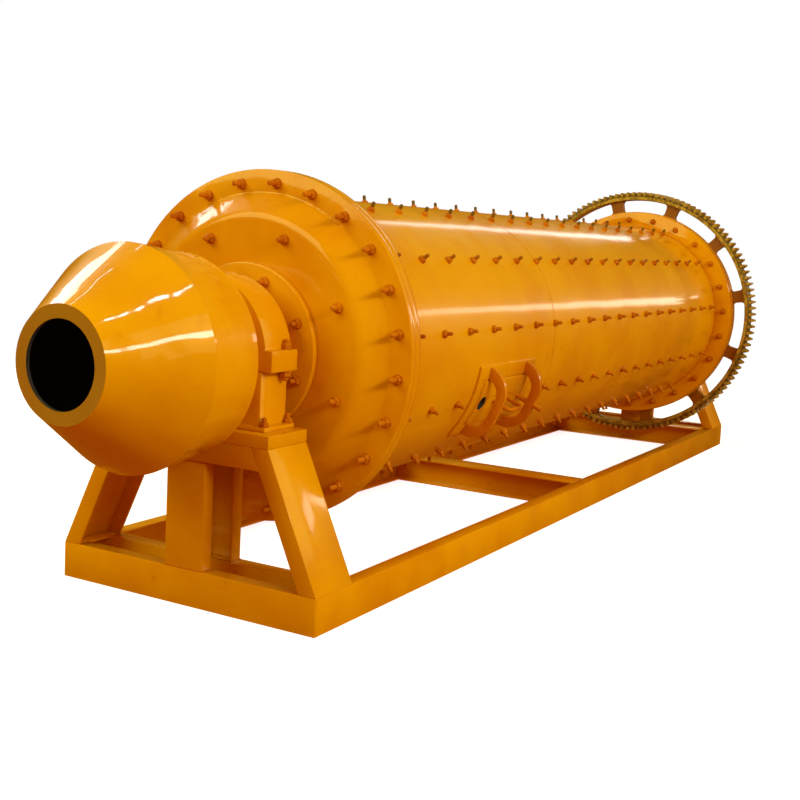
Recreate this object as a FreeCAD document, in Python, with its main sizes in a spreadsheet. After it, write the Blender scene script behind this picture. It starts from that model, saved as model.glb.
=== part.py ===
import FreeCAD, Part
import os
import re
import Sketcher

# A ball mill on a welded frame: a bolted drum on two trunnion bearings, with a conical
# feeder on the feed trunnion and a split girth gear round the discharge end.
# Millimetres, +Z up. The origin is on the floor, midway along the whole machine and
# under the drum's axis. +X runs from the feeder to the discharge.

doc = FreeCAD.newDocument("BallMill")

# Driving dimensions: alias, value, what it is
dimensions = [
    ("fit_gap", 0.3, "radial gap between curved faces that nest"),

    ("frame_width", 1228, "frame, outside to outside"),
    ("beam_height", 144, "frame beams"),
    ("beam_flange", 70, "flange width of the outer channels"),
    ("beam_web", 9, "web thickness"),
    ("beam_plate", 10, "flange thickness"),
    ("wide_flange", 160, "flange width of the middle and discharge cross beams"),
    ("inner_beam_flange", 78, "flange width of the feed inner beam"),
    ("inner_beam_setback", 185, "frame end to the near edge of each inner beam"),
    ("middle_beam_shift", 34, "middle beam forward of the frame's middle"),

    ("leg_depth", 255, "pedestal leg along the drum"),
    ("leg_width", 77, "pedestal leg across, measured level"),
    ("leg_web", 10, "leg's outer web"),
    ("leg_flange", 12, "leg's end flanges"),
    ("sole_plate", 49, "sole plate thickness"),
    ("sole_half", 380, "sole plate, half its width across"),
    ("discharge_sole_setback", 30, "how far the discharge sole plate stops short of its legs"),
    ("top_beam_height", 86, "box beam between the tops of the legs"),
    ("top_beam_wall", 12, "its wall"),
    ("post_width", 180, "middle posts"),
    ("post_depth", 60, "middle posts along the drum"),
    ("post_wall", 9, "middle posts' walls"),

    ("journal_radius", 225, "trunnion journals"),
    ("trunnion_wall", 50, "wall of both hollow trunnions"),
    ("bush_wall", 18, "bearing bush"),
    ("bush_overhang", 4, "how far the bush stands out at each side"),
    ("bearing_width", 170, "bearing housing along the drum"),
    ("discharge_bearing_setback", 30, "frame rear to the discharge bearing"),
    ("seat_wall", 27.4, "housing under the bush"),
    ("cap_wall", 61.4, "bearing cap over the bush"),
    ("split_drop", 50, "how far the housing splits below the axis"),
    ("lug_reach", 29, "cap's lugs beyond its sides"),
    ("lug_height", 82, "cap's lugs"),
    ("side_wall", 45.4, "lower housing beside the bush"),
    ("foot_side", 33, "housing's foot beyond its sides"),
    ("foot_height", 18, "housing's foot"),
    ("foot_reach", 15, "foot beyond the housing, along the drum"),

    ("feeder_reach", 671, "feeder mouth ahead of the frame's front end"),
    ("mouth_radius", 155, "feeder's mouth"),
    ("mouth_rim", 204, "outside of the mouth ring"),
    ("mouth_plate", 16, "mouth ring"),
    ("cone_length", 308, "mouth to the feeder's widest ring"),
    ("feeder_radius", 412, "feeder at its widest"),
    ("feeder_back_radius", 382, "feeder at its back"),
    ("feeder_wall", 12, "feeder's plate"),
    ("feeder_gap", 83, "feeder's back plate to the frame's front end"),
    ("back_plate", 24, "feeder's back plate"),
    ("trunnion_reach", 30, "feed trunnion inside the back plate"),
    ("trunnion_setback", 5, "frame rear to the end of the discharge trunnion"),

    ("shell_radius", 622, "outside of the shell"),
    ("shell_plate", 16, "shell plate"),
    ("shell_length", 4743, "shell between its two end faces"),
    ("liner_thickness", 40, "cast liners inside the shell"),
    ("liner_setback", 20, "liner behind each end of the shell"),
    ("flange_width", 94, "feed flanges beyond the shell"),
    ("discharge_flange_width", 111, "discharge flanges beyond the shell"),
    ("shell_flange", 40, "shell flange thickness"),
    ("feed_head_gap", 107, "feed legs to the face of the feed head"),
    ("discharge_head_gap", 50, "face of the discharge head to its legs"),
    ("dish_depth", 79, "head face to the front of its flange"),
    ("head_flange", 36, "head flange thickness"),
    ("head_wall", 48, "head casting"),
    ("dish_inset", 88, "edge of the raised face inside the shell's outside"),
    ("dish_spread", 2, "foot of the raised face outside it"),
    ("dish_round", 60, "rounding of the raised face"),
    ("foot_round", 14, "rounding where it meets the flange"),
    ("hub_width", 120, "bolted hub beyond the journal"),
    ("hub_plate", 30, "hub thickness"),

    ("gear_module", 14, "girth gear"),
    ("gear_face", 115, "face width"),
    ("gear_rim", 24, "rim under the teeth"),
    ("gear_web", 40, "web and spokes"),
    ("gear_web_inset", 30, "gear's feed face to its web"),
    ("gear_seat", 18, "web's inner edge beyond the shell's outside"),
    ("gear_collar", 5, "web beyond the discharge flanges"),
    ("spoke_reach", 93.5, "discharge flanges to the rim's inside"),
    ("spoke_width", 80, "spokes"),
    ("window_count", 12, "windows all round, one spoke between each two"),
    ("window_margin", 5, "rim's inside to the windows"),
    ("window_round", 22, "windows' corners"),
    ("tooth_root_share", 0.98, "half a tooth's thickness at its root, in modules"),
    ("tooth_tip_share", 0.4, "and at its tip"),
    ("tooth_depth_share", 1.25, "tooth below the pitch circle, in modules"),
    ("tooth_sink", 2, "teeth drawn this far into the rim"),
    ("joint_lug_depth", 58, "joint lugs inside the rim"),
    ("joint_lug_width", 32, "joint lug on each half"),
    ("gear_split", 138, "gear's split, turned from the top"),
    ("gear_clearance", 94, "gear above the floor"),

    ("manhole_angle", 113.6, "manhole, turned from the top towards the near side"),
    ("manhole_at", 1096, "shell's feed end to the manhole's middle"),
    ("manhole_length", 480, "opening along the drum"),
    ("manhole_width", 226, "opening round the drum"),
    ("manhole_border", 64, "frame plate round the opening"),
    ("manhole_plate", 12, "frame plate"),
    ("well_reach", 125, "opening's cut beyond the shell"),
    ("cover_gap", 3, "cover inside its opening"),
    ("cover_rise", 18, "cover above the shell"),
    ("port_radius", 30, "open port in the cover under the feed yoke"),
    ("yoke_spacing", 400, "between the two yokes"),
    ("yoke_plate", 26, "yoke's plate thickness"),
    ("yoke_bar", 42, "yoke's crown bar"),
    ("yoke_foot", 59, "yoke beyond the opening"),
    ("yoke_height", 114, "yoke's crown above the shell"),
    ("yoke_round", 122, "outer corners"),
    ("yoke_inner_round", 68, "inner corners"),
    ("yoke_sink_share", 0.2, "yokes drawn this far into the shell before their feet are cut"),
    ("yoke_screw", 12, "screw radius"),
]
sheet = doc.addObject("Spreadsheet::Sheet", "Dims")
for row, (alias, number, note) in enumerate(dimensions, start=1):
    sheet.set(f"A{row}", alias.replace("_", " "))
    sheet.set(f"B{row}", str(number))
    sheet.set(f"C{row}", note)
    sheet.setAlias(f"B{row}", alias)
doc.recompute()
aliases = {alias for alias, number, note in dimensions}


# Formula text with each alias pointed at its cell
def formula(text):
    return re.sub(r"[a-z]\w+", lambda word: ("Dims." if word[0] in aliases else "") + word[0], text)


def bind(item, **settings):
    for name, text in settings.items():
        item.setExpression(name, formula(text))
    return item


def place(item, x="0", y="0", z="0"):
    for axis, text in zip("xyz", (x, y, z)):
        item.setExpression(f"Placement.Base.{axis}", formula(text))
    return item


# The drum's ends, the gear's teeth and the bearings set the frame's length and the heights
headSetback = "(leg_depth + feed_head_gap)"
drumLength = "(shell_length + gear_web + 2 * (head_flange + dish_depth))"
frameLength = f"({headSetback} + {drumLength} + discharge_head_gap + leg_depth)"
pitchRadius = "(shell_radius + discharge_flange_width + spoke_reach + gear_rim + tooth_depth_share * gear_module)"
gearTeeth = f"(2 * round({pitchRadius} / gear_module))"
tipRadius = f"(gear_module * ({gearTeeth} / 2 + 1))"
rootRadius = f"(gear_module * ({gearTeeth} / 2 - tooth_depth_share))"
axisHeight = f"({tipRadius} + gear_clearance)"
bushInner = "(journal_radius + fit_gap)"
bushOuter = f"({bushInner} + bush_wall)"
housingBore = f"({bushOuter} + fit_gap)"
soleTop = f"({axisHeight} - {housingBore} - seat_wall)"
soleUnderside = f"({soleTop} - sole_plate)"

# Where the ends stand along X, from the origin
mouth = f"(-(feeder_reach + {frameLength}) / 2)"
frameFront = f"({mouth} + feeder_reach)"
frameRear = f"({frameFront} + {frameLength})"

subParts = {}
upright = FreeCAD.Rotation()
turnedRound = FreeCAD.Rotation(FreeCAD.Vector(0, 0, 1), 180)
alongX = FreeCAD.Rotation(FreeCAD.Vector(1, 1, 1), 120)
wedgeUp = FreeCAD.Rotation(FreeCAD.Vector(1, 0, 0), 90)


# Names an object as a sub-part: its label is its file's name
def keep(name, item):
    item.Label = name
    subParts[name] = item
    return item


# Part primitives

def box(name, length, width, height, x, y, z):
    item = doc.addObject("Part::Box", name)
    bind(item, Length=length, Width=width, Height=height)
    return place(item, x, y, z)


# A cylinder along X on the drum's axis; 180 degrees gives its upper half
def barrel(name, radius, length, x, degrees=360, z=axisHeight):
    item = doc.addObject("Part::Cylinder", name)
    bind(item, Radius=radius, Height=length)
    item.Angle = degrees
    item.Placement.Rotation = alongX
    return place(item, x, "0", z)


def cut(name, base, tool):
    item = doc.addObject("Part::Cut", name)
    item.Base = base
    item.Tool = tool
    return item


def fuse(name, pieces):
    item = doc.addObject("Part::MultiFuse", name)
    item.Shapes = pieces
    return item


# A bar whose near and far sides slope: the two half widths at its foot, then at its top
def slopedBar(name, x, length, low, high, foot, top, rotation=upright):
    item = doc.addObject("Part::Wedge", name)
    bind(item, Xmin="0", Xmax=length, X2min="0", X2max=length, Ymin="0", Ymax=f"{high} - ({low})",
         Zmin=foot[0], Zmax=foot[1], Z2min=top[0], Z2max=top[1])
    item.Placement.Rotation = rotation.multiply(wedgeUp)
    start = x if rotation is upright else f"{x} + {length}"
    return place(item, start, "0", low)


# PartDesign bodies

def planeOf(body, role):
    return next(item for item in body.Origin.OriginFeatures if item.Role == role)


def sketchOn(body, role, name):
    sketch = body.newObject("Sketcher::SketchObject", name)
    sketch.AttachmentSupport = [(planeOf(body, role), "")]
    sketch.MapMode = "FlatFace"
    return sketch


# Straight outline whose corners are each held by two bound distances from the origin
def outline(sketch, corners):
    count = len(corners)
    ring = [FreeCAD.Rotation(FreeCAD.Vector(0, 0, 1), 360 * index / count)
            .multVec(FreeCAD.Vector(100, 0, 0)) + FreeCAD.Vector(200, 200, 0) for index in range(count)]
    for index in range(count):
        sketch.addGeometry(Part.LineSegment(ring[index], ring[(index + 1) % count]))
    for index in range(count):
        sketch.addConstraint(Sketcher.Constraint("Coincident", index, 2, (index + 1) % count, 1))
    for index, corner in enumerate(corners):
        for kind, start, text in zip(("DistanceX", "DistanceY"), ring[index], corner):
            number = sketch.addConstraint(Sketcher.Constraint(kind, -1, 1, index, 1, start))
            sketch.setExpression(f"Constraints[{number}]", formula(text))
    doc.recompute()


# Rounds the circular edges that the outline's numbered corners swept
def roundCorners(body, feature, sketch, rounds):
    for corner, radius in rounds.items():
        point = sketch.Geometry[corner].StartPoint
        edges = [f"Edge{number}" for number, edge in enumerate(feature.Shape.Edges, start=1)
                 if isinstance(edge.Curve, Part.Circle) and abs(edge.Curve.Radius - point.y) < 0.01
                 and abs(edge.Curve.Center.x - point.x) < 0.01]
        feature = addFillet(body, feature, edges, radius)
    return feature


def addFillet(body, feature, edges, radius):
    fillet = body.newObject("PartDesign::Fillet", body.Label + "_round")
    fillet.Base = (feature, edges)
    bind(fillet, Radius=radius)
    doc.recompute()
    return fillet


# A piece turned about the drum's axis. Its outline is (distance from the mouth, radius).
def turned(name, corners, degrees=360, rounds=None):
    body = doc.addObject("PartDesign::Body", name)
    keep(name, body)
    sketch = sketchOn(body, "XZ_Plane", name + "_profile")
    outline(sketch, corners)
    spin = body.newObject("PartDesign::Revolution", name + "_turn")
    spin.Profile = sketch
    spin.ReferenceAxis = (sketch, ["H_Axis"])
    spin.Angle = degrees
    spin.Reversed = degrees < 360
    doc.recompute()
    if rounds:
        roundCorners(body, spin, sketch, rounds)
    place(body, mouth, "0", axisHeight)
    return body


def ring(name, x, length, inner, outer, **options):
    corners = [(x, inner), (x, outer), (f"{x} + {length}", outer), (f"{x} + {length}", inner)]
    return turned(name, corners, **options)


def sketchAcross(body, name, x):
    sketch = sketchOn(body, "YZ_Plane", name)
    sketch.setExpression("AttachmentOffset.Base.z", formula(x))
    return sketch


def padMiddle(body, sketch, length):
    pad = body.newObject("PartDesign::Pad", sketch.Label + "_pad")
    pad.Profile = sketch
    pad.Midplane = True
    bind(pad, Length=length)
    doc.recompute()
    return pad


# ---- Frame ----

def sideBeam(name, x, rotation):
    length = f"({frameLength} - 2 * beam_web)"
    outer = box(name + "_bar", length, "beam_flange", "beam_height", "0", "0", "0")
    trough = box(name + "_trough", length, "beam_flange - beam_web", "beam_height - 2 * beam_plate",
                 "0", "0", "beam_plate")
    beam = keep(name, cut(name, outer, trough))
    beam.Placement.Rotation = rotation
    edge = "(frame_width / 2 - beam_flange)"
    return place(beam, x, f"-{edge}" if rotation is turnedRound else edge, "0")


sideBeam("side_beam_far", f"{frameFront} + beam_web", upright)
sideBeam("side_beam_near", f"{frameRear} - beam_web", turnedRound)

innerHalf = "(frame_width / 2 - beam_flange)"
webHalf = "(frame_width / 2 - beam_web)"


# Channel or wide-flange beam across the frame. Its web reaches into the side beams.
def crossBeam(name, x, flange, webAt, webHalfLength, webLow, webHigh):
    web = box(name + "_web", "beam_web", f"2 * {webHalfLength}", f"{webHigh} - {webLow}",
              f"{x} + {webAt}", f"-{webHalfLength}", webLow)
    flanges = [box(f"{name}_{side}", flange, f"2 * {innerHalf}", "beam_plate", x, f"-{innerHalf}", z)
               for side, z in (("sole", "0"), ("crown", "beam_height - beam_plate"))]
    return keep(name, fuse(name, [web] + flanges))


def endBeam(name, x, webAt):
    crossBeam(name, x, "beam_flange", webAt, "(frame_width / 2)", "0", "beam_height")


def innerBeam(name, x, flange, webAt):
    crossBeam(name, x, flange, webAt, webHalf, "beam_plate", "(beam_height - beam_plate)")


endBeam("front_end_beam", frameFront, "0")
endBeam("rear_end_beam", f"({frameRear} - beam_flange)", "(beam_flange - beam_web)")
innerBeam("front_inner_beam", f"({frameFront} + inner_beam_setback)", "inner_beam_flange", "0")
innerBeam("middle_cross_beam", f"(({frameFront} + {frameRear} - wide_flange) / 2 - middle_beam_shift)",
          "wide_flange", "(wide_flange - beam_web) / 2")
innerBeam("rear_inner_beam", f"({frameRear} - inner_beam_setback - wide_flange)", "wide_flange",
          "(wide_flange - beam_web) / 2")


# ---- Pedestals ----

legFoot = "(frame_width / 2)"
legLean = f"(({legFoot} - sole_half) / ({soleUnderside} - beam_height))"
beamFootHalf = f"(sole_half - leg_width + top_beam_height * {legLean})"


def leg(name, x, rotation):
    outer = slopedBar(name + "_bar", x, "leg_depth", "beam_height", soleUnderside,
                      (f"{legFoot} - leg_width", legFoot), ("sole_half - leg_width", "sole_half"), rotation)
    trough = slopedBar(name + "_trough", f"({x} + leg_flange)", "(leg_depth - 2 * leg_flange)",
                       "beam_height", soleUnderside,
                       (f"{legFoot} - leg_width - 1", f"{legFoot} - leg_web"),
                       ("sole_half - leg_width - 1", "sole_half - leg_web"), rotation)
    return keep(name, cut(name, outer, trough))


def topBeam(name, x):
    outer = slopedBar(name + "_bar", x, "leg_depth", f"({soleUnderside} - top_beam_height)", soleUnderside,
                      (f"-{beamFootHalf}", beamFootHalf),
                      ("-(sole_half - leg_width)", "sole_half - leg_width"))
    hollow = box(name + "_hollow", "leg_depth - 2 * top_beam_wall", "2 * sole_half",
                 "top_beam_height - 2 * top_beam_wall", f"{x} + top_beam_wall", "-sole_half",
                 f"{soleUnderside} - top_beam_height + top_beam_wall")
    return keep(name, cut(name, outer, hollow))


# A channel post. Its web faces the end of the frame (outward 0) or the drum (outward 1).
def post(name, x, webAtStart):
    height = f"{soleUnderside} - top_beam_height - beam_height"
    bar = box(name + "_bar", "post_depth", "post_width", height, x, "-post_width / 2", "beam_height")
    troughAt = f"{x} + post_wall" if webAtStart else x
    trough = box(name + "_trough", "post_depth - post_wall", "post_width - 2 * post_wall", height,
                 troughAt, "-post_width / 2 + post_wall", "beam_height")
    return keep(name, cut(name, bar, trough))


def pedestal(prefix, legAt, soleAt, soleLength, outerPostAt, innerPostAt, feedEnd):
    leg(prefix + "_leg_near", legAt, upright)
    leg(prefix + "_leg_far", legAt, turnedRound)
    topBeam(prefix + "_top_beam", legAt)
    keep(prefix + "_sole_plate", box(prefix + "_sole_plate", soleLength, "2 * sole_half", "sole_plate",
                                     soleAt, "-sole_half", soleUnderside))
    post(prefix + "_outer_post", outerPostAt, feedEnd)
    post(prefix + "_inner_post", innerPostAt, not feedEnd)


outerPostSetback = "(beam_flange - post_depth) / 2"
innerPostSetback = "(inner_beam_setback + (inner_beam_flange - post_depth) / 2)"
pedestal("feed", frameFront, frameFront, "leg_depth", f"({frameFront} + {outerPostSetback})",
         f"({frameFront} + {innerPostSetback})", True)
pedestal("discharge", f"({frameRear} - leg_depth)", f"{frameRear} - leg_depth + discharge_sole_setback",
         "leg_depth - discharge_sole_setback", f"({frameRear} - {outerPostSetback} - post_depth)",
         f"({frameRear} - {innerPostSetback} - post_depth)", False)


# ---- Bearings ----

splitHeight = f"({axisHeight} - split_drop)"
capRadius = f"({housingBore} + cap_wall)"
lugHalf = f"({capRadius} + lug_reach)"
bodyHalf = f"({housingBore} + side_wall)"
footHalf = f"({bodyHalf} + foot_side)"


def bearing(prefix, x):
    seat = prefix + "_bearing_base"
    blocks = [box(seat + "_foot", "bearing_width + 2 * foot_reach", f"2 * {footHalf}", "foot_height",
                  f"{x} - foot_reach", f"-{footHalf}", soleTop),
              box(seat + "_block", "bearing_width", f"2 * {bodyHalf}", f"{splitHeight} - {soleTop}",
                  x, f"-{bodyHalf}", soleTop)]
    keep(seat, cut(seat, fuse(seat + "_solid", blocks),
                   barrel(seat + "_bore", housingBore, "bearing_width", x)))
    cap = prefix + "_bearing_cap"
    blocks = [barrel(cap + "_dome", capRadius, "bearing_width", x, 180),
              box(cap + "_skirt", "bearing_width", f"2 * {capRadius}", "split_drop",
                  x, f"-{capRadius}", splitHeight),
              box(cap + "_lug", "bearing_width", f"2 * {lugHalf}", "lug_height",
                  x, f"-{lugHalf}", splitHeight)]
    keep(cap, cut(cap, fuse(cap + "_solid", blocks),
                  barrel(cap + "_bore", housingBore, "bearing_width", x)))
    bush = prefix + "_bearing_bush"
    keep(bush, cut(bush, barrel(bush + "_outside", bushOuter, "bearing_width + 2 * bush_overhang",
                                f"{x} - bush_overhang"),
                   barrel(bush + "_bore", bushInner, "bearing_width + 2 * bush_overhang",
                          f"{x} - bush_overhang")))


bearing("feed", f"({frameFront} + leg_depth - foot_reach - bearing_width)")
bearing("discharge", f"({frameRear} - discharge_bearing_setback - bearing_width)")


# ---- Feeder: distances along the drum are from the mouth ----

coneSlope = "((feeder_radius - mouth_rim) / cone_length)"
backPlateAt = "(feeder_reach - feeder_gap - back_plate)"
wallAtRing = f"mouth_rim + mouth_plate * {coneSlope}"

turned("feeder_mouth_ring", [("0", "mouth_radius"), ("0", "mouth_rim"),
                             ("mouth_plate", wallAtRing), ("mouth_plate", "mouth_radius")])
turned("feeder_cone", [("mouth_plate", f"{wallAtRing} - feeder_wall"), ("mouth_plate", wallAtRing),
                       ("cone_length", "feeder_radius"), ("cone_length", "feeder_radius - feeder_wall")])
turned("feeder_drum", [("cone_length", "feeder_radius - feeder_wall"), ("cone_length", "feeder_radius"),
                       (backPlateAt, "feeder_back_radius"),
                       (backPlateAt, "feeder_back_radius - feeder_wall")])
ring("feeder_back_plate", backPlateAt, "back_plate", "journal_radius + fit_gap", "feeder_back_radius")


# ---- Drum ----

headFace = f"(feeder_reach + {headSetback})"
headFlangeAt = f"({headFace} + dish_depth)"
shellStart = f"({headFlangeAt} + head_flange)"
shellEnd = f"({shellStart} + shell_length)"
webEnd = f"({shellEnd} + gear_web)"
rearFlangeEnd = f"({webEnd} + head_flange)"
rearFace = f"({rearFlangeEnd} + dish_depth)"
spigot = "(journal_radius + fit_gap)"
shellBore = "(shell_radius - shell_plate)"
dishEdge = "(shell_radius - dish_inset)"
dishFoot = "(shell_radius + dish_spread)"
feedFlangeEdge = "(shell_radius + flange_width)"
dischargeFlangeEdge = "(shell_radius + discharge_flange_width)"
throat = "(journal_radius - trunnion_wall)"
hubEdge = "(journal_radius + hub_width)"

# The feed trunnion is a tube through the feeder's back plate, the bolted hub and the head
hubAt = f"({headFace} - hub_plate)"
trunnionAt = f"({backPlateAt} - trunnion_reach)"
ring("feed_trunnion", trunnionAt, f"{headFace} + head_wall - {trunnionAt}",
     throat, "journal_radius")
ring("feed_hub", hubAt, "hub_plate", spigot, hubEdge)


# A dished end casting, from its raised face to the back of its flange
def headCasting(name, face, step, flangeFront, flangeBack, flangeEdge):
    inside = f"({face} + {step} * head_wall)"
    turned(name, [(face, spigot), (face, dishEdge), (flangeFront, dishFoot), (flangeFront, flangeEdge),
                  (flangeBack, flangeEdge), (flangeBack, shellBore), (inside, f"{dishEdge} - head_wall"),
                  (inside, spigot)], rounds={1: "dish_round", 2: "foot_round"})


headCasting("feed_head", headFace, "1", headFlangeAt, shellStart, feedFlangeEdge)
ring("feed_shell_flange", shellStart, "shell_flange", "shell_radius + fit_gap", feedFlangeEdge)

# The shell is drawn with its manhole at the top and turned to the side it opens on
shell = ring("shell", shellStart, "shell_length", shellBore, "shell_radius")
manholeMiddle = f"({shellStart} + manhole_at)"
wellInside = f"({shellBore} / 2)"
wellOutside = "(shell_radius + well_reach)"


# A rectangle in the plane through the axis, cut through the wall to both sides of it
def cutWindow(body, x, length, width, low, high):
    before = body.Shape.Volume
    sketch = sketchOn(body, "XZ_Plane", body.Label + "_window")
    left, right = f"{x} - {length} / 2", f"{x} + {length} / 2"
    outline(sketch, [(left, low), (left, high), (right, high), (right, low)])
    pocket = body.newObject("PartDesign::Pocket", body.Label + "_cut")
    pocket.Profile = sketch
    pocket.Midplane = True
    bind(pocket, Length=width)
    doc.recompute()
    if body.Shape.Volume >= before:
        raise RuntimeError(f"{body.Label}: the window cuts nothing")


def turnTo(item, degrees):
    item.Placement.Rotation = FreeCAD.Rotation(FreeCAD.Vector(1, 0, 0), 90)
    item.setExpression("Placement.Rotation.Angle", formula(degrees))


cutWindow(shell, manholeMiddle, "manhole_length", "manhole_width", wellInside, wellOutside)
turnTo(shell, "manhole_angle")

liner = ring("shell_liner", f"({shellStart} + liner_setback)", "(shell_length - 2 * liner_setback)",
             f"{shellBore} - fit_gap - liner_thickness", f"{shellBore} - fit_gap")
cutWindow(liner, manholeMiddle, "manhole_length", "manhole_width", wellInside, wellOutside)
turnTo(liner, "manhole_angle")

ring("discharge_shell_flange", f"{shellEnd} - shell_flange", "shell_flange",
     "shell_radius + fit_gap", dischargeFlangeEdge)
headCasting("discharge_head", rearFace, "-1", rearFlangeEnd, webEnd, dischargeFlangeEdge)
trunnionStart = f"({rearFace} - head_wall)"
ring("discharge_trunnion", trunnionStart,
     f"feeder_reach + {frameLength} - trunnion_setback - {trunnionStart}", throat, "journal_radius")
ring("discharge_hub", rearFace, "hub_plate", spigot, hubEdge)


# ---- Manhole: drawn at the top of the drum and turned with the shell ----

def saddle(name, length, width, inner, outer):
    x = f"{manholeMiddle} - {length} / 2"
    curved = cut(name + "_ring", barrel(name + "_outside", outer, length, x, z="0"),
                 barrel(name + "_inside", inner, length, x, z="0"))
    window = box(name + "_limit", length, width, outer, x, f"-{width} / 2", "0")
    piece = doc.addObject("Part::Common", name)
    piece.Base = curved
    piece.Tool = window
    return piece


def onDrum(name, item):
    turnTo(item, "manhole_angle")
    return keep(name, place(item, mouth, "0", axisHeight))


border = saddle("manhole_border", "(manhole_length + 2 * manhole_border)",
                "(manhole_width + 2 * manhole_border)", "(shell_radius + fit_gap)",
                "(shell_radius + manhole_plate)")
opening = box("manhole_opening", "manhole_length", "manhole_width", wellOutside,
              f"{manholeMiddle} - manhole_length / 2", "-manhole_width / 2", "0")
onDrum("manhole_frame", cut("manhole_frame", border, opening))
plate = saddle("manhole_cover_plate", "(manhole_length - 2 * cover_gap)", "(manhole_width - 2 * cover_gap)",
               shellBore, "(shell_radius + cover_rise)")
port = doc.addObject("Part::Cylinder", "manhole_cover_port")
bind(port, Radius="port_radius", Height=wellOutside)
place(port, f"{manholeMiddle} - yoke_spacing / 2", "0", "0")
onDrum("manhole_cover", cut("manhole_cover", plate, port))


# Edges along the drum's axis that the outline's numbered corners swept
def axialEdges(feature, sketch, corners):
    points = [sketch.Geometry[corner].StartPoint for corner in corners]
    return [f"Edge{number}" for number, edge in enumerate(feature.Shape.Edges, start=1)
            if any(all(abs(vertex.Y - point.x) < 0.01 and abs(vertex.Z - point.y) < 0.01
                       for vertex in edge.Vertexes) for point in points)]


# A bridge over the opening, cut from plate, with its feet shaped to the frame plate
def yoke(name, side, hasScrew):
    x = f"({manholeMiddle} + {side} * yoke_spacing / 2)"
    crown = "(shell_radius + yoke_height)"
    low = "(shell_radius * (1 - yoke_sink_share))"
    inside = f"{crown} - yoke_bar"
    span = "(manhole_width + 2 * yoke_foot)"
    legWidth = "(yoke_foot - cover_gap)"
    arch = doc.addObject("PartDesign::Body", name + "_arch")
    sketch = sketchOn(arch, "YZ_Plane", name + "_outline")
    outline(sketch, [("0", low), ("0", crown), (span, crown), (span, low),
                     (f"{span} - {legWidth}", low), (f"{span} - {legWidth}", inside),
                     (legWidth, inside), (legWidth, low)])
    pad = padMiddle(arch, sketch, "yoke_plate")
    rounded = addFillet(arch, pad, axialEdges(pad, sketch, (1, 2)), "yoke_round")
    addFillet(arch, rounded, axialEdges(rounded, sketch, (5, 6)), "yoke_inner_round")
    place(arch, x, f"-{span} / 2", "0")
    seat = barrel(name + "_seat", "shell_radius + manhole_plate + fit_gap", "2 * yoke_plate",
                  f"{x} - yoke_plate", z="0")
    piece = cut(name + "_feet", arch, seat)
    if hasScrew:
        screw = doc.addObject("Part::Cylinder", name + "_screw")
        bind(screw, Radius="yoke_screw",
             Height=f"{crown} + yoke_bar - shell_radius - cover_rise - fit_gap")
        place(screw, x, "0", "shell_radius + cover_rise + fit_gap")
        piece = fuse(name, [piece, screw])
    onDrum(name, piece)


yoke("manhole_yoke_feed", "-1", False)
yoke("manhole_yoke_discharge", "1", True)


# ---- Girth gear: two bolted halves ----

gearAt = f"({shellEnd} - gear_web_inset)"
gearMiddle = f"({gearAt} + gear_face / 2)"
rimInner = f"({rootRadius} - gear_rim)"
windowOuter = f"({rimInner} - window_margin)"
windowInner = f"({dischargeFlangeEdge} + gear_collar)"
gearBore = "(shell_radius + gear_seat)"


# Repeats a feature round the axis from the top towards the far side
def repeatRound(body, feature, occurrences, degrees):
    pattern = body.newObject("PartDesign::PolarPattern", feature.Label + "_ring")
    pattern.Originals = [feature]
    pattern.Axis = (planeOf(body, "X_Axis"), [""])
    pattern.Reversed = True
    bind(pattern, Occurrences=occurrences, Angle=degrees)
    body.Tip = pattern
    doc.recompute()
    return pattern


# The windows between the spokes: one is cut by turning its section about the axis, then repeated
def cutWindows(body):
    blank = body.Shape.Volume
    section = sketchOn(body, "XZ_Plane", body.Label + "_window")
    section.AttachmentOffset.Rotation = FreeCAD.Rotation(FreeCAD.Vector(-1, 0, 0), 90)
    section.setExpression("AttachmentOffset.Rotation.Angle", formula("180 / window_count"))
    outline(section, [(shellEnd, windowInner), (shellEnd, windowOuter), (webEnd, windowOuter),
                      (webEnd, windowInner)])
    groove = body.newObject("PartDesign::Groove", body.Label + "_window_cut")
    groove.Profile = section
    groove.ReferenceAxis = (section, ["H_Axis"])
    groove.Midplane = True
    bind(groove, Angle=f"360 deg / window_count - 2 * asin(spoke_width / 2 / {windowInner})")
    doc.recompute()
    windows = repeatRound(body, groove, "window_count / 2", "180 - 360 / window_count")
    if body.Shape.Volume >= blank:
        raise RuntimeError(f"{body.Label}: the windows cut nothing")
    radii = [section.Geometry[corner].StartPoint.y for corner in (0, 1)]
    corners = []
    for number, edge in enumerate(windows.Shape.Edges, start=1):
        end = edge.Vertexes[0]
        alongAxis = isinstance(edge.Curve, Part.Line) and abs(edge.Curve.Direction.x) > 0.99
        if alongAxis and any(abs(FreeCAD.Vector(0, end.Y, end.Z).Length - radius) < 0.01 for radius in radii):
            corners.append(f"Edge{number}")
    addFillet(body, windows, corners, "window_round")


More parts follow.
